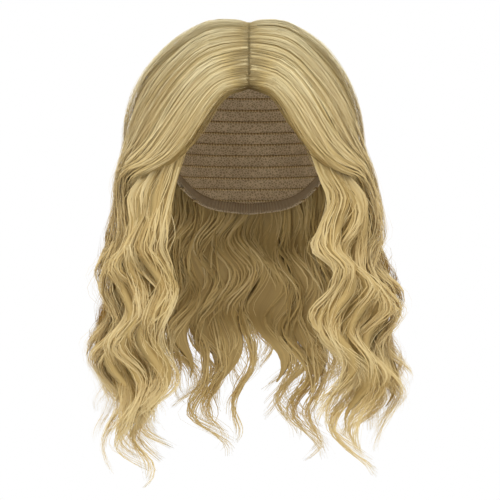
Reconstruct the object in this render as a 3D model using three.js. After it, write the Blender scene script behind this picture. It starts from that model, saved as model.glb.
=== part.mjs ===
// A long wavy wig with a centre parting: a net cap, the band inside its edge, and the locks of hair on it.
// Millimetres, +Z up, the face opening looks along -Y, and the wearer's left is +X.
// The origin is the inside of the cap's crown, where the top of the head bears.
import * as THREE from "three";
import { ParametricGeometry } from "three/addons/geometries/ParametricGeometry.js";
import { mergeVertices } from "three/addons/utils/BufferGeometryUtils.js";

// The head that the cap fits
const HEAD_HALF_WIDTH = 77;
const HEAD_HALF_LENGTH = 97;
const HEAD_RISE = 100; // from the head's widest level, the brim, up to its crown
const EAR_DRAW = 4; // how far the sides of the head draw in at the depth of the nape
const NAPE_DRAW = 16; // how far the back of the head draws in there
const NAPE_DROP = 65; // the nape's depth below the brim

// The cap and its band
const CAP_WALL = 1.5;
const BAND_WIDTH = 10;
const BAND_WALL = 1.3;
const BAND_GAP = 1.0; // between the band and the cap that it lines
const BAND_SETBACK = 2; // between the band's lower edge and the cap's

// The hair: how deep it stands over the cap, and how long and wide it falls
const HAIR_SEAT = 1.1; // between the cap and the hair sewn on it
const DEPTH_TOP = 20;
const DEPTH_SIDE = 33;
const DEPTH_FRONT = 11;
const DEPTH_BACK = 24;
const FALL_LENGTH = 315; // from the brim to the longest tips
const FALL_FLARE = 34; // how much wider each side hangs than it stands at the brim
const FALL_DRAW_IN = 12; // how much the front and the back draw in on the way down
const FALL_DEPTH = 25; // thickness of the hanging curtain of hair
const LOCK_GAP = 0.7; // between one lock and the next
const TIP_TAPER = 85; // length over which a lock thins out to its tip
const TIP_ROUNDNESS = 0.6; // 1 is a straight taper, and less is a fuller one
const PARTING_RISE = 0.4; // share of the way from the parting to the temple in which the hair gains its depth

// The waves in the hair
const WAVE_LENGTH = 78;
const WAVE_SWAY = 9; // sideways, along the curtain
const WAVE_SWELL = 8; // in and out of it
const WAVE_START = 15; // below the brim
const WAVE_FULL = 100;
const WAVE_DRIFT = 1.5; // radians by which the waves shift, back and forth, round the head
const WAVE_DRIFTS = 4; // turns of that shift round the whole head

const HAIR_COLOUR = 0xbfa873;
const CAP_COLOUR = 0x6b5636;
const BAND_COLOUR = 0x4f4029;

const CAP_SEGMENTS = 44;
const CAP_RINGS = 8;
const POLE_ROWS = 1e-4; // share of the way at which a dome's rings start, so that its pole stays one point

// Both sides of the head. fullness and flare are a side's shares of DEPTH_SIDE and FALL_FLARE. Crests are depths below the
// brim where the waves reach furthest: sway towards the face, swell outwards. Behind the head both sides share
// one wave.
const SIDES = [
  { name: "left", sign: 1, fullness: 0.8, flare: 1, swayCrest: 101, swellCrest: 128 },
  { name: "right", sign: -1, fullness: 1.12, flare: 0.75, swayCrest: 75, swellCrest: 98 },
];
const BACK_WAVE = { swayCrest: 80, swellCrest: 60, start: 140, full: 180 }; // start and full are azimuths

// The hanging curtain's level sections. fall is the share of FALL_LENGTH below the brim, flare and draw are
// shares of FALL_FLARE and FALL_DRAW_IN, fill is how far the depth has gone from the brim's to FALL_DEPTH, and
// squareness is the exponent of the section's outline, where 2 is an ellipse.
const FALL_SECTIONS = [
  { fall: 0.0, flare: 0.0, draw: 0.0, fill: 0.0, squareness: 2.0 },
  { fall: 0.13, flare: 0.42, draw: 0.1, fill: 0.6, squareness: 2.2 },
  { fall: 0.29, flare: 0.57, draw: 0.4, fill: 1.0, squareness: 2.5 },
  { fall: 0.48, flare: 0.86, draw: 0.7, fill: 1.0, squareness: 2.7 },
  { fall: 0.7, flare: 1.0, draw: 0.9, fill: 1.0, squareness: 2.8 },
  { fall: 1.0, flare: 0.65, draw: 1.0, fill: 1.0, squareness: 2.8 },
];

// The cap's edge, from the forehead round to the nape: tilt is the angle from the crown, and past 90 degrees
// each radian is HEAD_RISE further down.
const CAP_EDGE = [
  { azimuth: 0, tilt: 59 },
  { azimuth: 20, tilt: 65 },
  { azimuth: 38, tilt: 82 },
  { azimuth: 56, tilt: 92 },
  { azimuth: 72, tilt: 103 },
  { azimuth: 92, tilt: 96 },
  { azimuth: 114, tilt: 108 },
  { azimuth: 145, tilt: 122 },
  { azimuth: 180, tilt: 126 },
];

// Stations that every lock from the parting passes, with the steps that lead to each of them
const LONG_STATIONS = [
  { at: "root", steps: 0 },
  { at: "temple", steps: 5 },
  { at: "brow", steps: 2 },
  { at: "sweep", steps: 2 },
  { at: "gate", steps: 2 },
  { at: "neck", steps: 4 },
  { at: "chest", steps: 6 },
  { at: "hem", steps: 12 },
];
// Stations of the locks that start under the fringe
const SHORT_STATIONS = [
  { at: "start", steps: 0 },
  { at: "cheek", steps: 3 },
  { at: "jaw", steps: 2 },
  { at: "neck", steps: 2 },
  { at: "chest", steps: 6 },
  { at: "hem", steps: 12 },
];
const LEVELS = { jaw: 0.145, neck: 0.19, chest: 0.48, hem: 1 }; // shares of FALL_LENGTH

// The lines between the locks from the parting, [azimuth, tilt] at each station on the head, and the azimuth
// alone where the hair hangs. A root's azimuth is 0, and a negative tilt lies behind the crown.
const LONG_EDGES = [
  { root: 64, temple: [19, 72], brow: [27, 90], sweep: [40, 107], gate: [61, 103], neck: 60, chest: 58, hem: 58 },
  { root: 44, temple: [38, 65], brow: [48, 84], sweep: [60, 97], gate: [73, 97], neck: 73, chest: 71, hem: 71 },
  { root: 24, temple: [57, 48], brow: [69, 67], sweep: [77, 82], gate: [83, 92], neck: 87, chest: 86, hem: 86 },
  { root: 5, temple: [84, 42], brow: [95, 62], sweep: [100, 76], gate: [103, 90], neck: 106, chest: 108, hem: 108 },
  { root: -9, temple: [112, 42], brow: [118, 62], sweep: [121, 76], gate: [123, 90], neck: 127, chest: 130, hem: 130 },
  { root: -14, temple: [136, 42], brow: [140, 62], sweep: [141, 76], gate: [143, 90], neck: 147, chest: 150, hem: 150 },
  { root: -18, temple: [158, 42], brow: [160, 62], sweep: [161, 76], gate: [162, 90], neck: 165, chest: 166, hem: 166 },
  { root: -21, temple: [180, 42], brow: [180, 62], sweep: [180, 76], gate: [180, 90], neck: 180, chest: 180, hem: 180 },
];
// The lines between the locks that start under the fringe
const SHORT_EDGES = [
  { start: [40, 88], cheek: [40, 112], jaw: 38, neck: 36, chest: 27, hem: 28 },
  { start: [48, 87], cheek: [47, 110], jaw: 46, neck: 44, chest: 37, hem: 38 },
  { start: [55, 86], cheek: [53, 108], jaw: 52, neck: 51, chest: 47, hem: 47 },
  { start: [61, 85], cheek: [59, 107], jaw: 59, neck: 58.5, chest: 56.5, hem: 56.5 },
];

// How deep a lock lies in the hair at each station: 0 is against the cap, 1 is the outside
const LAYERS = {
  fringe: {
    root: [0.05, 0.65], temple: [0.15, 1], brow: [0.4, 1], sweep: [0.42, 1], gate: [0.42, 1],
    neck: [0, 1], chest: [0, 1], hem: [0, 1],
  },
  crown: {
    root: [0.05, 0.65], temple: [0.06, 1], brow: [0.01, 1], sweep: [0, 1], gate: [0, 1],
    neck: [0, 1], chest: [0, 1], hem: [0, 1],
  },
  under: { start: [0, 0.33], cheek: [0, 0.38], jaw: [0, 0.92], neck: [0, 1], chest: [0, 1], hem: [0, 1] },
};

// The locks of one side, each between two neighbouring edges. reach is the share of the last stretch, chest to
// hem, at which each side's lock ends, and flick is how far its tip turns outwards, in shares of FALL_DEPTH.
const LONG_LOCKS = [
  { name: "fringe_1", layer: "fringe", leftReach: 0.84, rightReach: 0.92, flick: 0.5 },
  { name: "fringe_2", layer: "fringe", leftReach: 0.94, rightReach: 0.8, flick: 0.3 },
  { name: "side_lock_1", layer: "crown", leftReach: 0.86, rightReach: 0.68, flick: 0.4 },
  { name: "side_lock_2", layer: "crown", leftReach: 0.74, rightReach: 0.74, flick: -0.2 },
  { name: "back_lock_1", layer: "crown", leftReach: 0.82, rightReach: 0.7, flick: 0.2 },
  { name: "back_lock_2", layer: "crown", leftReach: 0.94, rightReach: 0.82, flick: -0.2 },
  { name: "back_lock_3", layer: "crown", leftReach: 0.84, rightReach: 0.94, flick: 0.2 },
];
const SHORT_LOCKS = [
  { name: "face_lock_1", layer: "under", leftReach: 0.74, rightReach: 0.82, flick: -0.3 },
  { name: "face_lock_2", layer: "under", leftReach: 0.92, rightReach: 0.96, flick: 0.2 },
  { name: "face_lock_3", layer: "under", leftReach: 0.82, rightReach: 0.9, flick: -0.2 },
];

// A lock's cross-section: across runs from one edge to the other, through from the inside to the outside
const LOCK_SECTION = [
  { across: -0.8, through: 0 },
  { across: 0.8, through: 0 },
  { across: 1, through: 0.4 },
  { across: 0.72, through: 0.86 },
  { across: 0, through: 1 },
  { across: -0.72, through: 0.86 },
  { across: -1, through: 0.4 },
];

const radians = THREE.MathUtils.degToRad;
const mix = THREE.MathUtils.lerp;
const ease = THREE.MathUtils.smoothstep;
const PARTING_HALF_GAP = LOCK_GAP / 2;

// Reads a column of a table between its rows, along a smooth curve
function columnAt(rows, key, column, at) {
  let i = 0;
  while (i < rows.length - 2 && at > rows[i + 1][key]) i += 1;
  const slope = (a, b) => (rows[b][column] - rows[a][column]) / (rows[b][key] - rows[a][key]);
  const before = Math.max(i - 1, 0);
  const after = Math.min(i + 2, rows.length - 1);
  const span = rows[i + 1][key] - rows[i][key];
  const t = THREE.MathUtils.clamp((at - rows[i][key]) / span, 0, 1);
  const start = slope(before, i + 1) * span;
  const end = slope(i, after) * span;
  const low = rows[i][column];
  const high = rows[i + 1][column];
  return (
    low * (2 * t ** 3 - 3 * t ** 2 + 1) +
    start * (t ** 3 - 2 * t ** 2 + t) +
    high * (3 * t ** 2 - 2 * t ** 3) +
    end * (t ** 3 - t ** 2)
  );
}

// A closed mesh through rows of points: the first and the last row are single points
function closedMesh(name, pointAt, around, rows, material) {
  const put = (u, v, target) => pointAt(Math.round(u * around) % around, Math.round(v * (rows - 1)), target);
  const sheet = new ParametricGeometry(put, around, rows - 1);
  sheet.deleteAttribute("normal");
  sheet.deleteAttribute("uv");
  const merged = mergeVertices(sheet, 1e-4);
  const index = merged.index.array;
  const place = merged.getAttribute("position");
  const kept = [];
  const corner = [new THREE.Vector3(), new THREE.Vector3(), new THREE.Vector3()];
  let volume = 0;
  for (let i = 0; i < index.length; i += 3) {
    const [a, b, c] = index.slice(i, i + 3);
    if (a === b || b === c || c === a) continue;
    kept.push([a, b, c]);
    [a, b, c].forEach((vertex, k) => corner[k].fromBufferAttribute(place, vertex));
    volume += corner[0].dot(corner[1].cross(corner[2])) / 6;
  }
  const facing = volume < 0 ? kept.map(([a, b, c]) => [a, c, b]) : kept;
  const solid = new THREE.BufferGeometry();
  solid.setAttribute("position", place);
  solid.setIndex(facing.flat());
  solid.computeVertexNormals();
  const mesh = new THREE.Mesh(solid, material);
  mesh.name = name;
  return mesh;
}

// A point of the head's surface, moved outwards by offset
function headPoint(azimuth, tilt, offset, target) {
  const halfWidth = HEAD_HALF_WIDTH + offset;
  const halfLength = HEAD_HALF_LENGTH + offset;
  const side = Math.sin(azimuth);
  const front = -Math.cos(azimuth);
  if (tilt <= Math.PI / 2) {
    const reach = Math.sin(tilt);
    const height = (HEAD_RISE + offset) * Math.cos(tilt) - HEAD_RISE;
    return target.set(halfWidth * reach * side, halfLength * reach * front, height);
  }
  const drop = (tilt - Math.PI / 2) * HEAD_RISE;
  const drawn = (drop / NAPE_DROP) ** 2;
  return target.set(
    (halfWidth - EAR_DRAW * drawn) * side,
    (halfLength - NAPE_DRAW * drawn) * front,
    -HEAD_RISE - drop,
  );
}

function capEdgeTilt(azimuth) {
  const fromFront = Math.abs(THREE.MathUtils.euclideanModulo(azimuth + Math.PI, 2 * Math.PI) - Math.PI);
  return radians(columnAt(CAP_EDGE, "azimuth", "tilt", THREE.MathUtils.radToDeg(fromFront)));
}

// The cap is a wall of even thickness: down its inside from the pole to the edge, and up its outside again
function makeCap(material) {
  const rows = 2 * CAP_RINGS + 2;
  const pointAt = (segment, row, target) => {
    const azimuth = (segment / CAP_SEGMENTS) * 2 * Math.PI;
    const inside = row <= CAP_RINGS;
    const ring = inside ? row : rows - 1 - row;
    const share = ring === 0 ? 0 : Math.max(ring / CAP_RINGS, POLE_ROWS);
    return headPoint(azimuth, share * capEdgeTilt(azimuth), inside ? 0 : CAP_WALL, target);
  };
  return closedMesh("cap", pointAt, CAP_SEGMENTS, rows, material);
}

// The band is a flat ribbon round the inside of the cap's edge, whose section closes on itself
function makeEdgeBand(material) {
  const corners = [
    { up: BAND_SETBACK, in: BAND_GAP },
    { up: BAND_SETBACK + BAND_WIDTH, in: BAND_GAP },
    { up: BAND_SETBACK + BAND_WIDTH, in: BAND_GAP + BAND_WALL },
    { up: BAND_SETBACK, in: BAND_GAP + BAND_WALL },
    { up: BAND_SETBACK, in: BAND_GAP },
  ];
  const pointAt = (segment, row, target) => {
    const azimuth = (segment / CAP_SEGMENTS) * 2 * Math.PI;
    const tilt = capEdgeTilt(azimuth) - corners[row].up / HEAD_RISE;
    return headPoint(azimuth, tilt, -corners[row].in, target);
  };
  return closedMesh("edge_band", pointAt, CAP_SEGMENTS, corners.length, material);
}

// A direction from the middle of the head on the dome, and round an upright tube below the brim. Straight
// mixes of such directions stay smooth where the dome turns into the tube.
function direction(azimuth, tilt) {
  const side = Math.sin(radians(azimuth));
  const front = -Math.cos(radians(azimuth));
  if (tilt > 90) return new THREE.Vector3(side, front, -radians(tilt - 90));
  const reach = Math.sin(radians(tilt));
  return new THREE.Vector3(reach * side, reach * front, Math.cos(radians(tilt)));
}

function edgeCurve(edge, stations) {
  const points = stations.map(({ at }) => {
    if (at === "root") return direction(0, edge.root);
    if (at in LEVELS) {
      const level = direction(edge[at], 90);
      return level.setZ((-LEVELS[at] * FALL_LENGTH) / HEAD_RISE);
    }
    return direction(...edge[at]);
  });
  return new THREE.CatmullRomCurve3(points, false, "catmullrom", 0.5);
}

// Level section of the hair at a depth below the brim, at a layer between the inside and the outside
function fallSection(drop, layer, side) {
  const fall = drop / FALL_LENGTH;
  const at = (column) => columnAt(FALL_SECTIONS, "fall", column, fall);
  const seat = CAP_WALL + HAIR_SEAT;
  const fill = at("fill");
  const inward = 1 - layer;
  const sideDepth = DEPTH_SIDE * side.fullness;
  const width = HEAD_HALF_WIDTH + seat + sideDepth + FALL_FLARE * side.flare * at("flare");
  const front = HEAD_HALF_LENGTH + seat + DEPTH_FRONT - FALL_DRAW_IN * at("draw");
  const back = HEAD_HALF_LENGTH + seat + DEPTH_BACK - FALL_DRAW_IN * at("draw");
  return {
    halfWidth: width - inward * mix(sideDepth, FALL_DEPTH, fill),
    front: front - inward * mix(DEPTH_FRONT, FALL_DEPTH, fill),
    back: back - inward * mix(DEPTH_BACK, FALL_DEPTH, fill),
    squareness: at("squareness"),
  };
}

// A point of the hair in a direction at a layer, before the waves, as on the wearer's left
function restPoint(way, layer, side, target) {
  const seat = CAP_WALL + HAIR_SEAT;
  if (way.z >= 0) {
    const unit = way.clone().normalize();
    const depth = unit.y < 0 ? DEPTH_FRONT : DEPTH_BACK;
    return target.set(
      unit.x * (HEAD_HALF_WIDTH + seat + layer * DEPTH_SIDE * side.fullness),
      unit.y * (HEAD_HALF_LENGTH + seat + layer * depth),
      unit.z * (HEAD_RISE + seat + layer * DEPTH_TOP) - HEAD_RISE,
    );
  }
  const drop = -way.z * HEAD_RISE;
  const section = fallSection(drop, layer, side);
  const reach = Math.hypot(way.x, way.y);
  const power = 2 / section.squareness;
  const across = way.x / reach;
  const along = way.y / reach;
  return target.set(
    section.halfWidth * Math.sign(across) * Math.abs(across) ** power,
    (along < 0 ? section.front : section.back) * Math.sign(along) * Math.abs(along) ** power,
    -HEAD_RISE - drop,
  );
}

// The waves move a point along the curtain and in and out of it, more the further down it hangs
function wavePoint(way, side, target) {
  const drop = -way.z * HEAD_RISE;
  const strength = ease(drop, WAVE_START, WAVE_FULL);
  if (strength === 0) return target;
  const azimuth = Math.atan2(way.x, -way.y);
  const drift = WAVE_DRIFT * Math.sin(WAVE_DRIFTS * azimuth);
  const wave = (crest) => Math.cos((2 * Math.PI * (drop - crest)) / WAVE_LENGTH + drift);
  const behind = ease(azimuth, radians(BACK_WAVE.start), radians(BACK_WAVE.full));
  const sway = mix(-wave(side.swayCrest), side.sign * wave(BACK_WAVE.swayCrest), behind);
  const swell = mix(wave(side.swellCrest), wave(BACK_WAVE.swellCrest), behind);
  const outwards = new THREE.Vector3(way.x, way.y, 0).normalize();
  const along = new THREE.Vector3(-outwards.y, outwards.x, 0);
  target.addScaledVector(along, WAVE_SWAY * strength * sway);
  return target.addScaledVector(outwards, WAVE_SWELL * strength * swell);
}

function makeLock(lock, edges, stations, side, material) {
  const [front, rear] = edges.map((edge) => edgeCurve(edge, stations));
  const last = stations.length - 1;
  const end = last - 1 + lock[side.name + "Reach"];
  const lastStretch = (LEVELS.hem - LEVELS.chest) * FALL_LENGTH;
  const times = stations.flatMap(({ steps }, i) => Array.from({ length: steps }, (_, k) => i - 1 + k / steps));
  const rows = [...times.filter((t) => t < end - 0.5 / stations[last].steps), end];
  rows.unshift(rows[0]);

  const layerAt = (t, which) => {
    const i = Math.min(Math.floor(t), last - 1);
    const layers = LAYERS[lock.layer];
    const reached = ease(t - i, 0, stations[i].at === "root" && which === 1 ? PARTING_RISE : 1);
    return mix(layers[stations[i].at][which], layers[stations[i + 1].at][which], reached);
  };
  const wayAt = (t, across) => {
    const share = t / last;
    return front.getPoint(share).lerp(rear.getPoint(share), across);
  };
  const pointAt = (corner, row, target) => {
    const t = rows[row];
    const pole = row === 0 || row === rows.length - 1;
    const toTip = (end - t) * lastStretch;
    const body = pole ? 0 : Math.min(1, toTip / TIP_TAPER) ** TIP_ROUNDNESS;
    const inner = layerAt(t, 0);
    const outer = layerAt(t, 1);
    const width = restPoint(wayAt(t, 0), outer, side, new THREE.Vector3())
      .distanceTo(restPoint(wayAt(t, 1), outer, side, new THREE.Vector3()));
    const half = 0.5 - LOCK_GAP / 2 / width;
    const { across, through } = LOCK_SECTION[corner];
    const way = wayAt(t, 0.5 + half * body * across);
    restPoint(way, mix((inner + outer) / 2, mix(inner, outer, through), body), side, target);
    wavePoint(way, side, target);
    const tipShare = 1 - Math.min(1, toTip / TIP_TAPER);
    const outwards = new THREE.Vector3(way.x, way.y, 0).normalize();
    target.addScaledVector(outwards, lock.flick * FALL_DEPTH * tipShare ** 2);
    target.x += PARTING_HALF_GAP;
    target.x *= side.sign;
    return target;
  };
  return closedMesh(side.name + "_" + lock.name, pointAt, LOCK_SECTION.length, rows.length, material);
}

const hairMaterial = new THREE.MeshStandardMaterial({ color: HAIR_COLOUR, roughness: 0.5, metalness: 0 });
const capMaterial = new THREE.MeshStandardMaterial({ color: CAP_COLOUR, roughness: 0.9, metalness: 0 });
const bandMaterial = new THREE.MeshStandardMaterial({ color: BAND_COLOUR, roughness: 0.85, metalness: 0 });

const wig = new THREE.Group();
wig.name = "wig";
wig.add(makeCap(capMaterial), makeEdgeBand(bandMaterial));
for (const side of SIDES) {
  LONG_LOCKS.forEach((lock, i) => {
    wig.add(makeLock(lock, LONG_EDGES.slice(i, i + 2), LONG_STATIONS, side, hairMaterial));
  });
  SHORT_LOCKS.forEach((lock, i) => {
    wig.add(makeLock(lock, SHORT_EDGES.slice(i, i + 2), SHORT_STATIONS, side, hairMaterial));
  });
}

export default wig;
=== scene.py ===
# %% [markdown]
# A long wavy wig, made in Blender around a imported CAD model.
# The CAD model has the true outer form of every lock of hair, and the cap and band that carry them. This
# file gives each of them its looks. You will see how to read a form from a mesh, how to lay thousands of
# fine strands through it, and how to finish the cap and its elastic band.

# %% Load the frame
import math

import bpy
import numpy as np
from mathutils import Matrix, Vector


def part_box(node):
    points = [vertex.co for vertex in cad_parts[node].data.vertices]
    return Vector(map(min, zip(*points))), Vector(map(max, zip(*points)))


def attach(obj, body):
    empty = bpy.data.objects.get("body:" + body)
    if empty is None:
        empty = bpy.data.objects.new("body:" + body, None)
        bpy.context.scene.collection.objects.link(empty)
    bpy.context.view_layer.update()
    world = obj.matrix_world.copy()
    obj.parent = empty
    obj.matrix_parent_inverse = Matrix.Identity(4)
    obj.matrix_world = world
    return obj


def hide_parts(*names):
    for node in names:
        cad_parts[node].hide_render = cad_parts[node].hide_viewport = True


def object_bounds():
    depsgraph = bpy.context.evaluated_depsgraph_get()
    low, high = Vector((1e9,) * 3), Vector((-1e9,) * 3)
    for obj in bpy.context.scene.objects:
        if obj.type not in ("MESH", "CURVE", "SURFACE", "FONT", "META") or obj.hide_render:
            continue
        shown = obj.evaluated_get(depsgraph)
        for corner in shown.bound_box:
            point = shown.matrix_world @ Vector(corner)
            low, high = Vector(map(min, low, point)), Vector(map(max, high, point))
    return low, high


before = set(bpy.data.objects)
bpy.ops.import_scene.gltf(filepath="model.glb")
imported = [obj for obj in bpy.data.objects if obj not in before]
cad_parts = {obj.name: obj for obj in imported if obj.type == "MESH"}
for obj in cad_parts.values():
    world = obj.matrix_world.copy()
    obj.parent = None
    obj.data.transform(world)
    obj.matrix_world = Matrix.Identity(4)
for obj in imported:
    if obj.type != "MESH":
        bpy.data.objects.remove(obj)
cad_box = [list(corner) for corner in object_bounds()]
hair_nodes = sorted(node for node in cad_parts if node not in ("cap", "edge_band"))
print("CAD box", cad_box)
print("locks of hair", len(hair_nodes))

# %% [markdown]
# The camera stands 1.7 m in front of the head, level with the middle of the hair, and looks along +Y. The
# lens is chosen so that the picture is 465 mm wide where the head is, which is the framing of the
# photograph. The camera comes first, so that every later piece can be judged through it.

# %% Camera
CAMERA_DISTANCE = 1.7
PICTURE_WIDTH = 0.465
PICTURE_CENTRE = Vector((0.0009, 0.0, -0.1959))

bpy.ops.object.camera_add(
    location=PICTURE_CENTRE - Vector((0, CAMERA_DISTANCE, 0)), rotation=(math.radians(90), 0, 0)
)
camera = bpy.context.object
camera.name = "camera"
camera.data.sensor_width = 36
camera.data.lens = camera.data.sensor_width * CAMERA_DISTANCE / PICTURE_WIDTH
bpy.context.scene.camera = camera
print("lens", round(camera.data.lens, 1), "mm")

# %% [markdown]
# A plain white surround lights the hair evenly from all sides, as in a catalogue picture. On top of it one
# large soft light from the front and above draws the highlights on the crown, and a weaker one fills from
# the side.

# %% Surround and lights
KEY_LIGHT = {"place": (-0.4, -1.35, 1.35), "size": 0.9, "power": 9}
FILL_LIGHT = {"place": (1.3, -1.0, 0.3), "size": 0.9, "power": 2}
FLOOR_RADIUS = 0.62
FLOOR_DROP = 0.115  # below the tips of the hair, out of the camera's view
FLOOR_COLOUR = (0.86, 0.86, 0.86, 1)

scene = bpy.context.scene
scene.view_settings.view_transform = "Standard"
world = bpy.data.worlds.new("studio")
scene.world = world
world.use_nodes = True
surround = world.node_tree.nodes["Background"]
surround.inputs["Color"].default_value = (1, 1, 1, 1)
surround.inputs["Strength"].default_value = 1.0


def add_soft_light(name, place, size, power):
    """An area light at a place, aimed at the middle of the hair."""
    bpy.ops.object.light_add(type="AREA", location=place)
    light = bpy.context.object
    light.name = name
    light.data.size = size
    light.data.energy = power
    light.rotation_euler = (PICTURE_CENTRE - light.location).to_track_quat("-Z", "Y").to_euler()


add_soft_light("key_light", **KEY_LIGHT)
add_soft_light("fill_light", **FILL_LIGHT)

bpy.ops.mesh.primitive_circle_add(
    vertices=96, radius=FLOOR_RADIUS, fill_type="NGON", location=(0, 0, cad_box[0][2] - FLOOR_DROP)
)
floor = bpy.context.object
floor.name = "floor"
bpy.ops.object.transform_apply(location=True)
floor_paint = bpy.data.materials.new("pale floor paint")
floor_paint.use_nodes = True
floor_paint.node_tree.nodes["Principled BSDF"].inputs["Base Color"].default_value = FLOOR_COLOUR
floor.data.materials.append(floor_paint)
print("floor at", round(cad_box[0][2] - FLOOR_DROP, 3))

# %% [markdown]
# A material is a small tree of nodes. This helper starts one and hands back a function that adds a node and
# sets its sockets, so that each finish below reads as a short recipe.


# %% Helper for materials
def start_material(name, roughness, specular):
    """A material with its Principled shader set, and a function that adds nodes to it."""
    material = bpy.data.materials.new(name)
    material.use_nodes = True
    tree = material.node_tree
    shader = tree.nodes["Principled BSDF"]
    shader.inputs["Roughness"].default_value = roughness
    shader.inputs["Specular IOR Level"].default_value = specular

    def add(kind, links=None, **settings):
        node = tree.nodes.new("ShaderNode" + kind)
        for key, value in settings.items():
            if hasattr(node, key):
                setattr(node, key, value)
            else:
                node.inputs[key.replace("_", " ")].default_value = value
        for socket, source in (links or {}).items():
            tree.links.new(source, node.inputs[socket])
        return node

    def link(source, socket):
        tree.links.new(source, shader.inputs[socket])

    return material, add, link


def add_ramp(add, source, stops):
    """A colour ramp through (place, colour) stops."""
    ramp = add("ValToRGB", {"Fac": source})
    elements = ramp.color_ramp.elements
    for i, (place, colour) in enumerate(stops):
        element = elements[i] if i < 2 else elements.new(place)
        element.position = place
        element.color = (*colour, 1)
    return ramp.outputs["Color"]


# %% [markdown]
# Golden blonde fibre isn't one colour. Each strand has a tint of its own, and soft patches of warmer and
# paler hair drift over the whole wig. Strands deep in a lock are darker and browner, which is painted shade.
# Every point carries two numbers, its tint and its painted shade, and a place along its fibres: so many
# metres across them, and so many along. Noise that is squeezed across the fibres and stretched along them
# draws hairs far finer than the mesh.

# %% Hair material
HAIR_DEEP = (0.15, 0.088, 0.028)
HAIR_DARK = (0.37, 0.25, 0.09)
HAIR_MIDDLE = (0.6, 0.431, 0.165)
HAIR_PALE = (0.82, 0.662, 0.345)
ASH_ON_CROWN = (1.0, 1.085, 1.25)  # the crown is a little cooler than the golden ends
ASH_HEIGHTS = (-0.17, -0.02)
STREAKS_PER_METRE = (450, 24, 1)  # across the fibres and along them
PATCH_PART = 0.22
STREAK_PART = 0.24

hair_finish, add, link = start_material("golden blonde fibre", roughness=0.54, specular=0.24)
place = add("TexCoord").outputs["Object"]
tint = add("Attribute", attribute_name="tint").outputs["Fac"]
shade = add("Attribute", attribute_name="shade").outputs["Fac"]
fibre = add("Attribute", attribute_name="fibre").outputs["Vector"]
along_fibres = add("Mapping", {"Vector": fibre}, Scale=STREAKS_PER_METRE).outputs["Vector"]
patches = add("TexNoise", {"Vector": place}, Scale=20.0, Detail=2.0).outputs["Fac"]
streaks = add("TexNoise", {"Vector": along_fibres}, Scale=1.0, Detail=4.0, Roughness=0.66).outputs["Fac"]


def centred(source, part):
    """Noise from 0 to 1, turned into a number that lies as far above zero as below it."""
    node = add("Math", {0: source}, operation="MULTIPLY_ADD")
    node.inputs[1].default_value = part
    node.inputs[2].default_value = -part / 2
    return node.outputs[0]


tinted = add("Math", {0: tint, 1: centred(patches, PATCH_PART)}, operation="ADD").outputs[0]
tinted = add("Math", {0: tinted, 1: centred(streaks, STREAK_PART)}, operation="ADD").outputs[0]
# The painted shade darkens the tint, so that shaded hair takes the deep and dark colours of the ramp.
lit = add("Math", {0: tinted, 1: shade}, operation="MULTIPLY").outputs[0]
colour = add_ramp(add, lit, [(0.0, HAIR_DEEP), (0.3, HAIR_DARK), (0.6, HAIR_MIDDLE), (1.0, HAIR_PALE)])
height = add("SeparateXYZ", {"Vector": place}).outputs["Z"]
ashy = add("MapRange", {"Value": height})
ashy.inputs["From Min"].default_value, ashy.inputs["From Max"].default_value = ASH_HEIGHTS
cooled = add("Mix", {0: ashy.outputs["Result"], 6: colour}, data_type="RGBA", blend_type="MULTIPLY")
cooled.inputs[7].default_value = (*ASH_ON_CROWN, 1)
link(cooled.outputs[2], "Base Color")
bump = add("Bump", {"Height": streaks}, Strength=0.5, Distance=0.0003)
link(bump.outputs["Normal"], "Normal")
print("hair material", len(hair_finish.node_tree.nodes), "nodes")

# %% [markdown]
# Each lock in the CAD model is a tube of rings with seven corners, closed to a point at both ends. Rather
# than type its route in again, we read it: the two end points are the only ones with seven neighbours, and
# each ring is one step further from the upper end than the ring before it. Corner 0 and 1 end up on the
# inside of the lock, next to the cap, 4 in the middle of its outside, and 6 on the side that lies nearer to
# the face.

# %% Read the rings of a lock
CORNERS = 7
FACE_MIDDLE = np.array([0.0, -0.12])  # seen from above


def neighbours_of(mesh):
    """The merged corners of a mesh of loose triangles, and which of them an edge joins."""
    raw = np.empty(len(mesh.vertices) * 3)
    mesh.vertices.foreach_get("co", raw)
    points, merged = np.unique(np.round(raw.reshape(-1, 3), 6), axis=0, return_inverse=True)
    corners = np.empty(len(mesh.loops), int)
    mesh.loops.foreach_get("vertex_index", corners)
    joined = [set() for _ in points]
    for a, b, c in merged.ravel()[corners].reshape(-1, 3):
        joined[a] |= {b, c}
        joined[b] |= {a, c}
        joined[c] |= {a, b}
    return points, joined


def walk_round(ring, joined):
    """The corners of one ring in order, each next to the one before."""
    members = set(ring)
    order = [ring[0]]
    while len(order) < len(ring):
        following = [v for v in joined[order[-1]] & members if v not in order]
        order.append(min(following))
    return order


def turned(ring):
    """The ring started at each corner, both ways round."""
    for way in (ring, ring[::-1]):
        for start in range(CORNERS):
            yield np.roll(way, start, axis=0)


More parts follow.
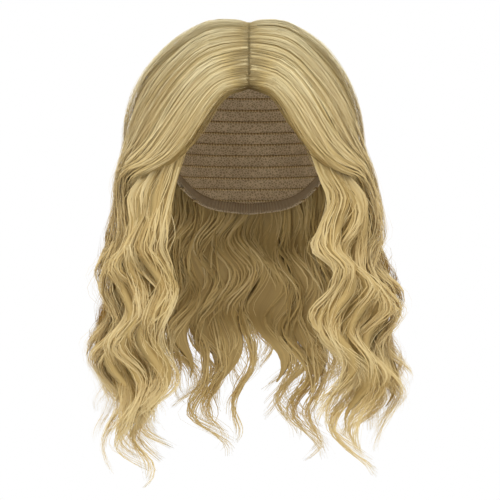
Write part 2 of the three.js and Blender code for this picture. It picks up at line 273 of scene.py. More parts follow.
def read_rings(node):
    points, joined = neighbours_of(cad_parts[node].data)
    ends = [v for v in range(len(points)) if len(joined[v]) == CORNERS]
    top = max(ends, key=lambda v: points[v][2])
    rings = []
    seen = {top}
    reached = [top]
    while True:
        reached = sorted({w for v in reached for w in joined[v]} - seen)
        if len(reached) < CORNERS:
            break
        seen |= set(reached)
        ring = points[walk_round(reached, joined)]
        if rings:
            before = rings[-1] - rings[-1].mean(0)
            ring = min(turned(ring), key=lambda r: ((r - r.mean(0) - before) ** 2).sum())
        rings.append(ring)
    rings = np.array(rings)
    sides = np.linalg.norm(rings - np.roll(rings, -1, axis=1), axis=2).sum(0)
    rings = np.roll(rings, -int(sides.argmax()), axis=1)
    from_face = np.linalg.norm(rings[..., :2] - FACE_MIDDLE, axis=2).mean(0)
    if from_face[6] > from_face[2]:
        rings = rings[:, [1, 0, 6, 5, 4, 3, 2]]
    tip = points[[v for v in ends if v != top][0]]
    return np.concatenate([rings, np.broadcast_to(tip, (1, CORNERS, 3))])


lock_rings = {node: read_rings(node) for node in hair_nodes}
print("rings in each lock", sorted({len(rings) for rings in lock_rings.values()}))

# %% [markdown]
# The locks of the CAD model lie side by side with a small gap and a rounded edge each. On the real wig the
# hair of neighbouring locks runs together over the crown, and only the hanging part falls into separate
# locks. So the outside corners of each ring are raised towards the level of its middle, nearly all the way
# on the crown. The rings are then evened out a little along the lock, so that the hair turns in easy curves
# where the fringe sweeps back.

# %% Raise the edges of the locks
CROWN_FOOT = -0.115  # below this level the hair hangs in waves
BLEND_ABOVE = 0.04  # how far above the foot the crown begins to turn into hanging hair
BLEND_BELOW = 0.05  # and how far below it the turn is complete
INSIDE_ACROSS = 0.8
OUTSIDE_CORNERS = [6, 5, 4, 3, 2]
OUTSIDE_ACROSS = np.array([-1.0, -0.72, 0.0, 0.72, 1.0])
OUTSIDE_THROUGH = np.array([0.4, 0.86, 1.0, 0.86, 0.4])
EDGE_RAISE = {"crown": 0.9, "hanging": 0.2}
BACK_OVERLAP = 0.14  # so that no light shows between the two halves of the back
EASING_ROUNDS = 4
EASED_RINGS = {"fringe": slice(4, 17), "face_lock": slice(2, 10)}  # where it turns to hang


def smooth(x, low, high):
    """0 below low, 1 above high, and an even S-curve between them."""
    f = np.clip((x - low) / (high - low), 0, 1)
    return f * f * (3 - 2 * f)


def inside_at(rings, across):
    share = ((across / INSIDE_ACROSS + 1) / 2)[..., None]
    return rings[..., 0, :] * (1 - share) + rings[..., 1, :] * share


def raise_edges(rings):
    hanging = smooth(CROWN_FOOT - rings.mean(1)[:, 2], -BLEND_ABOVE, BLEND_BELOW)
    lift = EDGE_RAISE["crown"] + (EDGE_RAISE["hanging"] - EDGE_RAISE["crown"]) * hanging
    raised = rings.copy()
    for corner, across, through in zip(OUTSIDE_CORNERS, OUTSIDE_ACROSS, OUTSIDE_THROUGH):
        inside = inside_at(rings, np.full(len(rings), across))
        level = (1 + (1 / through - 1) * lift)[:, None]
        raised[:, corner] = inside + (rings[:, corner] - inside) * level
    return raised


def ease_turns(rings, turning):
    eased = rings.copy()
    for _ in range(EASING_ROUNDS):
        evened = eased.copy()
        evened[1:-1] = (eased[:-2] + 2 * eased[1:-1] + eased[2:]) / 4
        eased[turning] = evened[turning]
    return eased


def widen(rings):
    """Let the hanging part of a lock overlap the next one a little."""
    hanging = smooth(CROWN_FOOT - rings.mean(1)[:, 2], -BLEND_ABOVE, BLEND_BELOW)[:, None, None]
    sideways = rings[:, 2:3] - rings[:, 6:7]
    sideways = sideways / np.maximum(np.linalg.norm(sideways, axis=2, keepdims=True), 1e-9)
    aside = ((rings - rings.mean(1, keepdims=True)) * sideways).sum(2, keepdims=True)
    return rings + sideways * aside * BACK_OVERLAP * hanging


for node, rings in lock_rings.items():
    rings = widen(rings) if node.endswith("back_lock_3") else rings
    lock_rings[node] = raise_edges(rings)
    for kind, turning in EASED_RINGS.items():
        if kind in node:
            lock_rings[node] = ease_turns(lock_rings[node], turning)
print("raised the edges of", len(lock_rings), "locks")

# %% [markdown]
# Between the rings the hair runs in smooth curves, so a ring at any place in between is a Catmull-Rom mix
# of the four rings around it. A place in the ring is given by across, from -1 at the face side to 1, and
# through, from 0 on the inside of the lock to 1 on its outside, which is one smooth curve through its five
# corners.


# %% Places in a lock
def ring_at(rings, t):
    """The rings at places t, counted in rings from the top, along smooth curves."""
    i = np.clip(np.floor(t).astype(int), 0, len(rings) - 2)
    f = (t - i)[..., None, None]
    before, start, end, after = (rings[np.clip(i + k, 0, len(rings) - 1)] for k in (-1, 0, 1, 2))
    return 0.5 * (
        2 * start
        + (end - before) * f
        + (2 * before - 5 * start + 4 * end - after) * f**2
        + (3 * start - before - 3 * end + after) * f**3
    )


def corner_shares(across):
    """How much each outside corner counts at a place across, so that the curve passes through all five."""
    shares = np.ones(across.shape + (5,))
    for i, here in enumerate(OUTSIDE_ACROSS):
        for there in np.delete(OUTSIDE_ACROSS, i):
            shares[..., i] *= (across - there) / (here - there)
    return shares


def place_in_lock(rings, across, through):
    inside = inside_at(rings, across)
    outside = (rings[..., OUTSIDE_CORNERS, :] * corner_shares(across)[..., None]).sum(-2)
    return inside + (outside - inside) * through[..., None]


def length_along(rings):
    """How far each ring lies along its lock, in metres."""
    middle = rings.mean(1)
    return np.concatenate([[0], np.cumsum(np.linalg.norm(np.diff(middle, axis=0), axis=1))])


def foot_of(rings):
    """How far along the lock the hair leaves the head and begins to hang."""
    return float(np.interp(-CROWN_FOOT, -rings.mean(1)[:, 2], length_along(rings)))


lengths = {node: round(float(length_along(rings)[-1]), 3) for node, rings in lock_rings.items()}
print("lock lengths from", min(lengths.values()), "to", max(lengths.values()))

# %% [markdown]
# Under its strands each lock has a core: the same form, a little smaller and finely grooved lengthwise. On
# the crown it is nearly as light as the strands, and where the hair hangs it has painted shade, dark as hair
# deep inside a lock. It keeps most daylight from showing through and gives the strands something to lie
# on. It is one closed loft from the top of the lock, and it runs out before the tips, which are loose wisps.
# The crown also has a few furrows: thin lines of painted shade between two strands, where the hair would
# part a little.

# %% Core of a lock
CORE_STEP = 0.008
CORE_OUTSIDE = 28  # points over the outside of the section
CORE_INSIDE = 14
CORE_THROUGH = {"inside": (0.06, 0.22), "outside": (0.88, 0.6)}  # on the crown and where it hangs
FRINGE_INSIDE = (0.06, 0.08)  # the fringe turns away from the face, so its inside is seen from the front
CORE_GROOVE = (0.05, 0.2)
CORE_EDGE = (0.89, 0.94)  # the level at its edges, high enough that no gap opens beside the next lock
CORE_ACROSS = (1.0, 0.99)
CORE_END = (0.64, 0.86)  # shares of the lock between which the core runs out
# Painted shade of the core: none on the crown, darker where it hangs.
CORE_SHADE = (1.0, 0.74)
CORE_TINT = (0.84, 0.6)
CORE_INSIDE_ACROSS = 0.85  # how far the inside of its section reaches to each side
CORE_EDGE_POWER = 8  # the higher, the narrower its raised edges
CORE_SHRINK = 0.97  # the share of its section that it has lost at its end
CORE_TINT_SPREAD = 0.07
CORE_FIBRE_STEP = 0.006  # across the fibres, from one column of points to the next
# The furrows are thin lines of painted shade between strands, most of them on the crown.
FURROW_ACROSS = 0.95
FURROW_SPACING = 0.006
FURROW_WIDTH = 0.0015
FURROW_HALF_LENGTH = (0.018, 0.055)
FURROW_FIRST = 0.08  # the least way from the root to its middle, where the foot isn't nearer
FURROW_LAST = 0.04  # and at most this far past the foot
FURROW_SHADE = 0.6
FACE_REACH = 0.8  # how much of its width a lock keeps on the side of the face, where it frames it


def on_crown_or_hanging(pair, hanging):
    return pair[0] + (pair[1] - pair[0]) * hanging


def width_of(rings):
    return float(np.linalg.norm(rings[:-3, 2] - rings[:-3, 6], axis=1).mean())


def make_furrows(rings, random):
    count = round(width_of(rings) / FURROW_SPACING)
    foot = foot_of(rings)
    return {
        "across": random.uniform(-FURROW_ACROSS, FURROW_ACROSS, count),
        "middle": random.uniform(min(FURROW_FIRST, foot), foot + FURROW_LAST, count),
        "half": random.uniform(*FURROW_HALF_LENGTH, count),
        "dark": random.random(count),
    }


def furrowed(rings, furrows, across, arc):
    """The share of light that is left at places across and along a lock."""
    left = np.ones(np.broadcast_shapes(across.shape, arc.shape))
    for place, middle, half, dark in zip(*furrows.values()):
        aside = (across - place) * width_of(rings) / 2 / FURROW_WIDTH
        window = np.clip(1 - ((arc - middle) / half) ** 2, 0, 1)
        left *= 1 - FURROW_SHADE * dark * np.exp(-(aside**2)) * window
    return left


def hanging_share(arc, foot):
    """0 on the crown, 1 where the hair hangs, for places along a lock."""
    return smooth(arc, foot - BLEND_ABOVE, foot + BLEND_BELOW)


def keep_off_face(node, across, hanging):
    """Pull the side of a lock that frames the face a little away from it."""
    if not node.endswith("face_lock_1"):
        return across
    return np.where(across < 0, across * (1 - (1 - FACE_REACH) * hanging), across)


def core_mesh(node, rings, furrows, random):
    """The points, faces, tints, painted shades and fibre places of a lock's grooved core."""
    length = length_along(rings)
    arc = np.arange(0, length[-1] * CORE_END[1], CORE_STEP)
    loops = ring_at(rings, np.interp(arc, length, np.arange(len(rings))))[:, None]
    over = np.linspace(-1, 1, CORE_OUTSIDE)
    under = np.linspace(CORE_INSIDE_ACROSS, -CORE_INSIDE_ACROSS, CORE_INSIDE)
    hanging = hanging_share(arc, foot_of(rings))[:, None]
    across = np.concatenate([over, under])
    across = keep_off_face(node, across * on_crown_or_hanging(CORE_ACROSS, hanging), hanging)
    inside = on_crown_or_hanging(FRINGE_INSIDE if "fringe" in node else CORE_THROUGH["inside"], hanging)
    groove = random.random((1, CORE_OUTSIDE)) * on_crown_or_hanging(CORE_GROOVE, hanging)
    outside = on_crown_or_hanging(CORE_THROUGH["outside"], hanging) - groove
    edge = on_crown_or_hanging(CORE_EDGE, hanging)
    outside = outside + (edge - outside) * over**CORE_EDGE_POWER
    through = np.concatenate([outside, np.tile(inside, (1, CORE_INSIDE))], 1)
    size = 1 - CORE_SHRINK * smooth(arc / length[-1], *CORE_END)[:, None]
    points = place_in_lock(loops, across * size, 0.5 + (through - 0.5) * size)
    steps, columns = points.shape[:2]
    row, column = np.meshgrid(np.arange(steps - 1), np.arange(columns), indexing="ij")
    a = row * columns + column
    b = row * columns + (column + 1) % columns
    quads = np.stack([a, b, b + columns, a + columns], -1).reshape(-1, 4)
    ends = [list(range(columns))[::-1], list(range((steps - 1) * columns, steps * columns))]
    tint = on_crown_or_hanging(CORE_TINT, hanging) + CORE_TINT_SPREAD * random.normal(0, 1, columns)
    fibre = np.zeros((steps, columns, 3))
    fibre[..., 0] = np.arange(columns) * CORE_FIBRE_STEP
    fibre[..., 1] = arc[:, None]
    # Painted shade: darker where the core hangs, and along the furrows.
    shade = on_crown_or_hanging(CORE_SHADE, hanging) * furrowed(rings, furrows, across, arc[:, None])
    return points.reshape(-1, 3), quads.tolist() + ends, tint.ravel(), shade.ravel(), fibre.reshape(-1, 3)


# %% [markdown]
# Real hair gathers in clumps. At the parting the strands lie side by side, further down they draw together
# round the middle of their clump and swing with it in a wave of its own, and they end in a thin wisp that
# hooks to one side. So each lock first gets its clumps, and a strand then belongs to the clump that lies
# nearest to its root.

# %% Clumps of a lock
CLUMP_SPACING = 0.0062
FEWEST_CLUMPS = 4
CLUMP_SHIFT = 0.6
CLUMP_TINT = 0.05
CLUMP_DEPTH = (0.6, 1.04)
CLUMP_WAVE = (0.056, 0.078)
CLUMP_SWAY = 0.0038
CLUMP_SPREAD = 1.15  # how far the waves of neighbouring clumps are out of step, in radians
CLUMP_END = (0.8, 1.0)
HOOK = (0.006, 0.02)
HOOK_LENGTH = 0.075


def make_clumps(rings, random):
    count = max(FEWEST_CLUMPS, round(width_of(rings) / CLUMP_SPACING))
    return {
        "across": np.linspace(-1, 1, count) + random.uniform(-CLUMP_SHIFT, CLUMP_SHIFT, count) / count,
        "depth": random.uniform(*CLUMP_DEPTH, count),
        "wave": random.uniform(*CLUMP_WAVE, count),
        "phase": random.uniform(0, 2 * np.pi) + random.normal(0, CLUMP_SPREAD, count),
        "end": random.uniform(*CLUMP_END, count),
        "hook": random.uniform(*HOOK, count) * random.choice([-1, 1], count),
        "tint": random.normal(0, CLUMP_TINT, count),
    }


print("clumps in the widest lock", round(max(width_of(r) for r in lock_rings.values()) / CLUMP_SPACING))

# %% [markdown]
# Now the strands. About two in five lie on the outside of their lock from the parting to the tip. The
# others clothe the hanging part: a looser cover just under the outside, the inside that is seen from
# within, and the two edges. The fringe also has fine hairs along the hairline, with painted shade that
# darkens them towards the skin. Each strand is a closed three-sided prism, wide and flat like a ribbon of
# hairs, that tapers to its end. A seed for each lock makes every run the same.

# %% Strands of a lock
ROW_STEP = {"crown": 0.013, "waves": 0.0105, "tip": 0.008}
STRAND_THICKNESS = 0.13  # share of its width
ROOT_ROWS = (0.0, 0.003, 0.009)  # the first places of a strand, where it rises out of the parting
ROOT_THROUGH = 0.92
ROOT_CROSSING = (0.0, 0.0028)  # how far roots reach over the middle of the parting
# Painted shadow where the strands rise out of the parting.
ROOT_SHADOW = {  # the share of light left at the root, and how far from it the shadow reaches
    "fringe_1": (0.2, 0.032),
    "fringe_2": (0.34, 0.018),
    "other": (0.5, 0.013),
}
SHADOW_START = -0.002
HANGING_START = 0.03
WISP_LENGTH = 0.1
ROW_GRID = 400  # fine steps from which the places of the rows are picked
CLUMP_MIXING = 0.05  # how much chance decides between neighbouring clumps
END_SPREAD = 0.1  # strands end up to this share of the lock before their clump does
END_BIAS = 1.5  # above 1, so that more of them end near it
END_LIMIT = 0.998
WAVES_BEGIN = 0.05  # how far before the foot the waves begin
WAVES_FULL = 0.11  # and how far past it they are full
CLUMP_GATHER = (0.1, 0.32)  # on the crown, and what is added where it hangs
WISP_GATHER = (0.84, 0.98)
CLUMP_SINK = {True: 0.45, False: 0.15}  # for strands from the parting, and for the others
WISP_SINK = 0.93
BURIED_DEPTH = 0.25  # strands that start below the parting come out from inside the lock
BURIED_LENGTH = 0.03
PARTING_REACH = 0.01  # roots this near to the middle of the head are at the parting
HOOK_SPREAD = (0.75, 1.15)
HOOK_TURN = 1.25  # in half turns
LOOSE = (0.0009, 0.0008)  # away from the root, and what is added where it hangs
LOOSE_FROM_ROOT = 0.1
STRAY_SHARE = (0.15, 0.85)  # of a flyaway: on the crown, and what is added where it hangs
SLOW_WAVE = 0.11
AWAY_SHARE = 0.6  # the sway outwards, as a share of the sway sideways
WIDTH_BIAS = 1.6  # above 1, so that more strands are narrow than wide
ROOT_TAPER = (0.35, 8)  # the share of its width at the root, and how fast it grows
TIP_TAPER = 0.88  # the share of its width that is lost at the tip
TIP_POWER = 5  # the higher, the nearer to the tip the change
STRAND_TINT = 0.92  # near the root
TINT_LOST = (0.2, 0.02)  # by the foot, and where it hangs
TINT_FROM = 0.03
TIP_PALER = 0.19
OWN_TINT = 0.065
OWN_TINT_SHARE = (0.24, 1.2)  # on the crown, and what is added where it hangs
TINT_BLEND = (0.08, 0.06)  # before the foot and past it
# Painted shade: strands deep in a lock are darker.
STRAND_SHADE = (0.84, 0.18)  # on the inside of the lock, and what is added on its outside
FIBRE_APART = 7.0  # so that neighbouring strands have noise of their own
STRAND_LAYERS = [
    {"share": 0.49, "across": (0, 1.06), "through": (0.95, 1.03), "from_parting": True, "gather": 1.0},
    {"share": 0.26, "across": (0, 1.02), "through": (0.68, 0.97), "from_parting": False, "gather": 0.6},
    {"share": 0.32, "across": (0, 1.0), "through": (-0.05, 0.14), "from_parting": False, "gather": 0.35},
    {"share": 0.15, "across": (0.92, 1.05), "through": (0.1, 0.9), "from_parting": False, "gather": 0.8},
]
HAIRLINE = {"share": 0.42, "across": (-1.06, -0.9), "through": (0, 1.02), "from_parting": True, "gather": 0.5}
# Painted shade along the hairline, darker towards the skin.
HAIRLINE_LIGHT = (0.4, 1.0)  # at the skin and at the level of the fringe
HAIRLINE_DEPTH = 0.85  # the level at which it is fully lit
HAIRLINE_FREED = 0.4  # the share of that range that it gains where it hangs
HAIRLINE_TINTS = 0.12
HAIRLINE_WIDTHS = (0.0005, 0.0012)


def unit(v):
    return v / np.maximum(np.linalg.norm(v, axis=-1, keepdims=True), 1e-9)


def row_places(start, foot, total):
    """Where a strand's rows lie: wide apart on the crown, closer in the waves and at the tip."""
    grid = np.linspace(start, total, ROW_GRID)
    step = np.where(grid < foot, ROW_STEP["crown"], ROW_STEP["waves"])
    step = np.where(grid > total - HOOK_LENGTH, ROW_STEP["tip"], step)
    rows = np.concatenate([[0], np.cumsum(np.diff(grid) / step[1:])])
    places = np.interp(np.linspace(0, rows[-1], round(rows[-1]) + 1), rows, grid)
    return places if start > 0 else np.concatenate([ROOT_ROWS, places[1:]])


def strand_paths(node, rings, clumps, layer, count, random, stray):
    """The middle lines of some strands, their outward directions, and where they lie in the lock."""
    length = length_along(rings)
    total = length[-1]
    foot = foot_of(rings)
    start = 0.0 if layer["from_parting"] else max(0.0, foot - HANGING_START)
    even = (np.arange(count) + random.random(count)) / count
    across = layer["across"][0] + even * (layer["across"][1] - layer["across"][0])
    if layer["across"][0] == 0 or not layer["from_parting"]:
        across = across * random.choice([-1, 1], count)
    through = random.uniform(*layer["through"], count)
    reach = np.abs(clumps["across"][None, :] - across[:, None] - random.normal(0, CLUMP_MIXING, (count, 1)))
    clump = reach.argmin(1)
    end = (clumps["end"][clump] - random.random(count) ** END_BIAS * END_SPREAD) * total * END_LIMIT
    rows = (row_places(start, foot, total) - start) / (total - start)
    arc = start + rows[None, :] * (end - start)[:, None]
    loops = ring_at(rings, np.interp(arc, length, np.arange(len(rings))))

    to_end = end[:, None] - arc
    hanging = smooth(arc, foot - WAVES_BEGIN, foot + WAVES_FULL)
    wisp = 1 - smooth(to_end, 0.0, WISP_LENGTH)
    gather = layer["gather"] * (CLUMP_GATHER[0] + CLUMP_GATHER[1] * hanging)
    gather = gather + (random.uniform(*WISP_GATHER, (count, 1)) - gather) * wisp
    own_across = across[:, None] + (clumps["across"][clump] - across)[:, None] * gather
    own_across = keep_off_face(node, own_across, hanging_share(arc, foot))
    sink = hanging * CLUMP_SINK[layer["from_parting"]]
    sink = sink + (WISP_SINK - sink) * wisp
    own_through = through[:, None] + (clumps["depth"][clump] - through)[:, None] * sink
    if start == 0:
        own_through = own_through * (1 - (1 - ROOT_THROUGH) * (1 - smooth(arc, 0.0, ROOT_ROWS[2])))
    elif layer["across"][0] == 0:
        buried = BURIED_DEPTH * (1 - smooth(arc - start, 0, BURIED_LENGTH))
        own_through = own_through + buried * np.sign(0.5 - through)[:, None]
    path = place_in_lock(loops, own_across, own_through)
    if start == 0 and abs(path[:, 0, 0]).max() < PARTING_REACH:
        path[:, 0, 0] -= np.sign(path[:, 0, 0]) * random.uniform(*ROOT_CROSSING, count)

    sideways = unit(loops[..., 2, :] - loops[..., 6, :])
    outwards = unit(loops[..., 4, :] - (loops[..., 0, :] + loops[..., 1, :]) / 2)
    turn = 2 * np.pi * arc / clumps["wave"][clump][:, None] + clumps["phase"][clump][:, None]
    sway = CLUMP_SWAY * hanging
    tip = 1 - np.clip(to_end / HOOK_LENGTH, 0, 1)
    hook = (clumps["hook"][clump] * random.uniform(*HOOK_SPREAD, count))[:, None]
    hook = hook * tip * np.sin(HOOK_TURN * np.pi * tip)
    looseness = LOOSE[0] * smooth(arc, 0.0, LOOSE_FROM_ROOT) + LOOSE[1] * hanging
    loose = random.normal(0, 1, (4, count, 1)) * looseness
    straying = STRAY_SHARE[0] + STRAY_SHARE[1] * hanging
    loose = loose + random.normal(0, 1, (4, count, 1)) * stray * straying
    slow = 2 * np.pi * arc / SLOW_WAVE
    aside = sway * np.sin(turn) + hook + loose[0] * np.sin(slow) + loose[1] * np.cos(slow)
    away = AWAY_SHARE * sway * np.cos(turn) + loose[2] * np.sin(slow) + loose[3] * np.cos(slow)
    path += sideways * aside[..., None] + outwards * away[..., None]
    return path, outwards, own_across, own_through, clump, arc


def strand_mesh(node, rings, clumps, furrows, layer, count, widths, random, stray=0.0):
    """The points, faces, tints, painted shades and fibre places of a lock's strands."""
    path, outwards, across, through, clump, arc = strand_paths(
        node, rings, clumps, layer, count, random, stray
    )
    rows = path.shape[1]
    along = unit(np.gradient(path, axis=1))
    side = unit(np.cross(along, outwards))
    up = np.cross(side, along)
    width = (widths[0] + (widths[1] - widths[0]) * random.random(count) ** WIDTH_BIAS)[:, None]
    share = np.linspace(0, 1, rows)[None, :]
    taper = np.minimum(ROOT_TAPER[0] + share * ROOT_TAPER[1], 1) * (1 - TIP_TAPER * share**TIP_POWER)
    half = (width * taper / 2)[..., None]
    points = np.stack([path - side * half, path + side * half, path + up * half * 2 * STRAND_THICKNESS], 2)

    first = (np.arange(count) * rows * 3)[:, None, None]
    row = (np.arange(rows - 1) * 3)[None, :, None]
    a = first + row + np.arange(3)[None, None, :]
    b = first + row + ((np.arange(3) + 1) % 3)[None, None, :]
    quads = np.stack([a, b, b + 3, a + 3], -1).reshape(-1, 4)
    root = first[:, 0] + np.array([[2, 1, 0]])
    tip = first[:, 0] + (rows - 1) * 3 + np.array([[0, 1, 2]])
    faces = quads.tolist() + root.tolist() + tip.tolist()

    foot = foot_of(rings)
    hanging = smooth(arc, foot - TINT_BLEND[0], foot + TINT_BLEND[1])
    own_tint = clumps["tint"][clump] + random.normal(0, OWN_TINT, count)
    own_share = OWN_TINT_SHARE[0] + OWN_TINT_SHARE[1] * hanging
    tint = STRAND_TINT - TINT_LOST[0] * smooth(arc, TINT_FROM, foot) - TINT_LOST[1] * hanging
    tint = tint + own_tint[:, None] * own_share + TIP_PALER * share**TIP_POWER
    # Painted shade: darker for strands deep in the lock, towards the skin along the hairline, near the root
    # and in the furrows.
    shade = STRAND_SHADE[0] + STRAND_SHADE[1] * np.clip(through, 0, 1)
    if layer is HAIRLINE:
        low, high = HAIRLINE_LIGHT
        shade = low + (high - low) * smooth(through, 0.0, HAIRLINE_DEPTH)
        shade = shade + (high - low) * hanging * HAIRLINE_FREED
        tint = tint + random.normal(0, HAIRLINE_TINTS, (count, 1))
    if layer["from_parting"]:
        dark, reach = next((ROOT_SHADOW[key] for key in ROOT_SHADOW if node.endswith(key)), ROOT_SHADOW["other"])
        shade = shade * (dark + (1 - dark) * smooth(arc, SHADOW_START, reach))
    shade = shade * furrowed(rings, furrows, across, arc)
    fibre = np.zeros((count, rows, 3, 3))
    fibre[..., 0] = random.random(count)[:, None, None] + half * np.array([-1, 1, 0])
    fibre[..., 1] = arc[..., None]
    fibre[..., 2] = np.arange(count)[:, None, None] * FIBRE_APART
    numbers = [np.repeat(np.broadcast_to(n, (count, rows)).ravel(), 3) for n in (tint, shade)]
    return points.reshape(-1, 3), faces, *numbers, fibre.reshape(-1, 3)


# %% [markdown]
# A core, its strands and a few finer flyaway hairs are joined into one mesh for each lock, and that piece
# stands in for the plain CAD solid. A wide lock gets more strands than a narrow one. The two lower edges of
# every strand are marked sharp, so that it is shaded as a nearly flat ribbon and not as a round cord.

# %% Make the locks
STRANDS_PER_METRE = 3700  # for each metre of a lock's width
STRAND_WIDTHS = (0.0006, 0.0018)
FLYAWAYS_EACH = 30
FLYAWAY_WIDTHS = (0.0003, 0.0006)
FLYAWAY_STRAY = 0.004


def sharpen_strands(mesh, core_points):
    """Mark the long lower edges of the strands, which come after the core in the mesh."""
    ends = np.empty(len(mesh.edges) * 2, int)
    mesh.edges.foreach_get("vertices", ends)
    low, high = np.sort(ends.reshape(-1, 2), axis=1).T
    sharp = (low >= core_points) & (high - low == 3) & ((low - core_points) % 3 < 2)
    mesh.attributes.new("sharp_edge", "BOOLEAN", "EDGE").data.foreach_set("value", sharp)


def make_lock(node, seed):
    rings = lock_rings[node]
    random = np.random.default_rng(seed)
    clumps = make_clumps(rings, random)
    furrows = make_furrows(rings, random)
    parts = [core_mesh(node, rings, furrows, random)]
    core_points = len(parts[0][0])
    for layer in STRAND_LAYERS + ([HAIRLINE] if node.endswith("fringe_1") else []):
        count = round(width_of(rings) * STRANDS_PER_METRE * layer["share"])
        widths = HAIRLINE_WIDTHS if layer is HAIRLINE else STRAND_WIDTHS
        parts.append(strand_mesh(node, rings, clumps, furrows, layer, count, widths, random))
    on_top = STRAND_LAYERS[0]
    parts.append(
        strand_mesh(
            node, rings, clumps, furrows, on_top, FLYAWAYS_EACH, FLYAWAY_WIDTHS, random, FLYAWAY_STRAY
        )
    )
    faces = []
    for i, part in enumerate(parts):
        offset = sum(len(earlier[0]) for earlier in parts[:i])
        faces += [[v + offset for v in face] for face in part[1]]
    points, tint, shade, fibre = (np.concatenate([part[k] for part in parts]) for k in (0, 2, 3, 4))
    mesh = bpy.data.meshes.new(node + "_hair")
    mesh.from_pydata(points, [], faces)
    mesh.attributes.new("tint", "FLOAT", "POINT").data.foreach_set("value", tint)
    mesh.attributes.new("shade", "FLOAT", "POINT").data.foreach_set("value", shade)
    mesh.attributes.new("fibre", "FLOAT_VECTOR", "POINT").data.foreach_set("vector", fibre.ravel())
    mesh.polygons.foreach_set("use_smooth", np.ones(len(mesh.polygons), bool))
    sharpen_strands(mesh, core_points)
    mesh.materials.append(hair_finish)
    lock = bpy.data.objects.new(node + "_hair", mesh)
    scene.collection.objects.link(lock)
    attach(lock, "root")
    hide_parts(node)
    return sum(len(p.vertices) - 2 for p in mesh.polygons)


triangles = [make_lock(node, seed) for seed, node in enumerate(hair_nodes)]
print("hair triangles", sum(triangles), "most in one lock", max(triangles))

# %% [markdown]
# The cap is a stretch net that fits the head. In the CAD model it is faceted, so we work on a copy: its
# loose triangles are merged and turned back into quads, and a subdivision surface rounds them off.

# %% Smooth the cap
MERGE_DISTANCE = 0.00002

bpy.ops.object.select_all(action="DESELECT")


def copy_node(node, name):
    """A copy of a CAD node as one connected mesh of quads, selected and active."""
    piece = bpy.data.objects.new(name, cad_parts[node].data.copy())
    scene.collection.objects.link(piece)
    piece.data.materials.clear()
    bpy.context.view_layer.objects.active = piece
    piece.select_set(True)
    bpy.ops.object.mode_set(mode="EDIT")
    bpy.ops.mesh.select_all(action="SELECT")
    bpy.ops.mesh.remove_doubles(threshold=MERGE_DISTANCE)
    bpy.ops.mesh.tris_convert_to_quads()
    bpy.ops.object.mode_set(mode="OBJECT")
    if piece.data.has_custom_normals:
        bpy.ops.mesh.customdata_custom_splitnormals_clear()
    return piece


def round_off(piece, levels):
    subdivision = piece.modifiers.new("rounded", "SUBSURF")
    subdivision.levels = levels
    subdivision.render_levels = levels
    bpy.ops.object.modifier_apply(modifier=subdivision.name)
    bpy.ops.object.shade_smooth()
    piece.select_set(False)
    return len(piece.data.polygons)


cap_net = copy_node("cap", "cap_net")
print("cap faces", round_off(cap_net, 2))

# %% [markdown]
# Seen from close by, stretch net is a mesh of fine threads round small cells. Voronoi cells have just such
# thin borders, so the distance to a cell's border both colours the threads and raises them.

# %% Net material
NET_THREAD = (0.72, 0.58, 0.38)
NET_CELL = (0.42, 0.32, 0.2)
NET_CELLS_PER_METRE = 420.0

net_finish, add, link = start_material("stretch net", roughness=0.85, specular=0.2)
place = add("TexCoord").outputs["Object"]
border = add("TexVoronoi", {"Vector": place}, feature="DISTANCE_TO_EDGE", Scale=NET_CELLS_PER_METRE)
blotches = add("TexNoise", {"Vector": place}, Scale=35.0, Detail=3.0).outputs["Fac"]
threads = add_ramp(add, border.outputs["Distance"], [(0.06, NET_THREAD), (0.2, NET_CELL)])
worn = add_ramp(add, blotches, [(0.3, (0.8, 0.78, 0.76)), (0.7, (1, 1, 1))])
net_colour = add("Mix", data_type="RGBA", blend_type="MULTIPLY")
net_colour.inputs[0].default_value = 1.0
for socket, source in ((6, threads), (7, worn)):
    net_finish.node_tree.links.new(source, net_colour.inputs[socket])
link(net_colour.outputs[2], "Base Color")
bump = add("Bump", {"Height": border.outputs["Distance"]}, Strength=0.6, Distance=0.0004, invert=True)
link(bump.outputs["Normal"], "Normal")
cap_net.data.materials.append(net_finish)
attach(cap_net, "root")
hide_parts("cap")
print("net cells of", round(1000 / NET_CELLS_PER_METRE, 1), "mm")

# %% [markdown]
# Hair is sewn to such a cap in wefts: long rows of stitched hair, about a centimetre apart, that show
# inside as raised ribs. The rows follow level sections of the inner wall. So we keep only the faces of a
# copy that look towards the middle of the head, cut that shell at each level with bisect, and turn the cut
# line into a curve with a round bevel, which becomes a mesh.

# %% Wefts inside the cap
WEFT_SPACING = 0.011
WEFT_RADIUS = 0.0011
FIRST_WEFT = 1.6  # spacings below the top of the cap
HEAD_MIDDLE_DROP = 0.1  # below the top of the cap
cap_low, cap_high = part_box("cap")
head_middle = Vector((0, (cap_low.y + cap_high.y) / 2, cap_high.z - HEAD_MIDDLE_DROP))

shell = copy_node("cap", "inner_wall")
bpy.ops.object.mode_set(mode="EDIT")
bpy.ops.mesh.select_mode(type="FACE")
bpy.ops.mesh.select_all(action="DESELECT")
bpy.ops.object.mode_set(mode="OBJECT")
for face in shell.data.polygons:
    face.select = face.normal.dot(head_middle - face.center) < 0
bpy.ops.object.mode_set(mode="EDIT")
bpy.ops.mesh.delete(type="FACE")
bpy.ops.object.mode_set(mode="OBJECT")
round_off(shell, 1)


def weft_at(level):
    """One weft: the level section of the inner wall as a round rib."""
    weft = bpy.data.objects.new("weft", shell.data.copy())
    scene.collection.objects.link(weft)
    bpy.context.view_layer.objects.active = weft
    weft.select_set(True)
    bpy.ops.object.mode_set(mode="EDIT")
    bpy.ops.mesh.select_all(action="SELECT")
    bpy.ops.mesh.bisect(plane_co=(0, 0, level), plane_no=(0, 0, 1), clear_inner=True, clear_outer=True)
    bpy.ops.object.mode_set(mode="OBJECT")
    bpy.ops.object.convert(target="CURVE")
    rib = bpy.context.object
    rib.data.bevel_depth = WEFT_RADIUS
    rib.data.bevel_resolution = 1
    rib.data.use_fill_caps = True
    bpy.ops.object.convert(target="MESH")
    rib = bpy.context.object
    rib.select_set(False)
    return rib


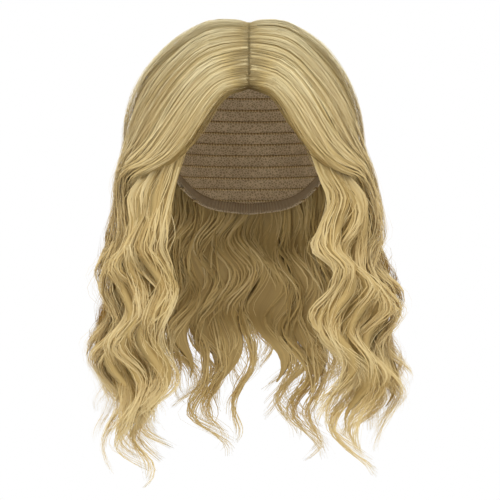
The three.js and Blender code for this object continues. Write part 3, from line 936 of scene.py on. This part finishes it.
levels = np.arange(cap_high.z - FIRST_WEFT * WEFT_SPACING, cap_low.z + WEFT_SPACING, -WEFT_SPACING)
ribs = [weft_at(float(level)) for level in levels]
bpy.data.objects.remove(shell)
for rib in ribs:
    rib.select_set(True)
bpy.context.view_layer.objects.active = ribs[0]
bpy.ops.object.join()
wefts = bpy.context.object
wefts.name = "wefts"
wefts.data.materials.clear()
bpy.ops.object.shade_smooth()
wefts.select_set(False)
print("wefts", len(ribs), "faces", len(wefts.data.polygons))

# %% [markdown]
# A weft is bound with a zigzag of thread. The stitches follow the rib round the head, so their pattern
# reads the angle round the head from a radial gradient and repeats it every few millimetres.

# %% Weft and band materials
WEFT_THREAD = (0.66, 0.51, 0.28)
WEFT_DARK = (0.36, 0.25, 0.12)
STITCHES_ROUND = 190
BAND_LIGHT = (0.50, 0.39, 0.25)
BAND_DARK = (0.27, 0.195, 0.115)
RIBS_ROUND = 330
THREAD_HEIGHT = 0.0003


def round_the_head(name, repeats, light, dark, height):
    """A matt cloth with so many ribs or stitches round the head."""
    finish, add, link = start_material(name, roughness=0.8, specular=0.25)
    place = add("TexCoord").outputs["Object"]
    angle = add("TexGradient", {"Vector": place}, gradient_type="RADIAL").outputs["Fac"]
    turns = add("Math", {0: angle}, operation="MULTIPLY")
    turns.inputs[1].default_value = 2 * math.pi * repeats
    wave = add("Math", {0: turns.outputs[0]}, operation="SINE").outputs[0]
    link(add_ramp(add, wave, [(0.0, dark), (0.75, light)]), "Base Color")
    bump = add("Bump", {"Height": wave}, Strength=0.7, Distance=height)
    link(bump.outputs["Normal"], "Normal")
    return finish


weft_finish = round_the_head("stitched weft", STITCHES_ROUND, WEFT_THREAD, WEFT_DARK, THREAD_HEIGHT)
wefts.data.materials.append(weft_finish)
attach(wefts, "root")
print("stitches", STITCHES_ROUND, "ribs", RIBS_ROUND)

# %% [markdown]
# The elastic band runs along the inside of the cap's edge. A copy of its CAD solid is rounded off in the
# same way as the cap, and its ribs run across it.

# %% Elastic band
band = copy_node("edge_band", "elastic_band")
print("band faces", round_off(band, 2))
band_finish = round_the_head("ribbed elastic", RIBS_ROUND, BAND_LIGHT, BAND_DARK, THREAD_HEIGHT)
band.data.materials.append(band_finish)
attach(band, "root")
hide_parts("edge_band")
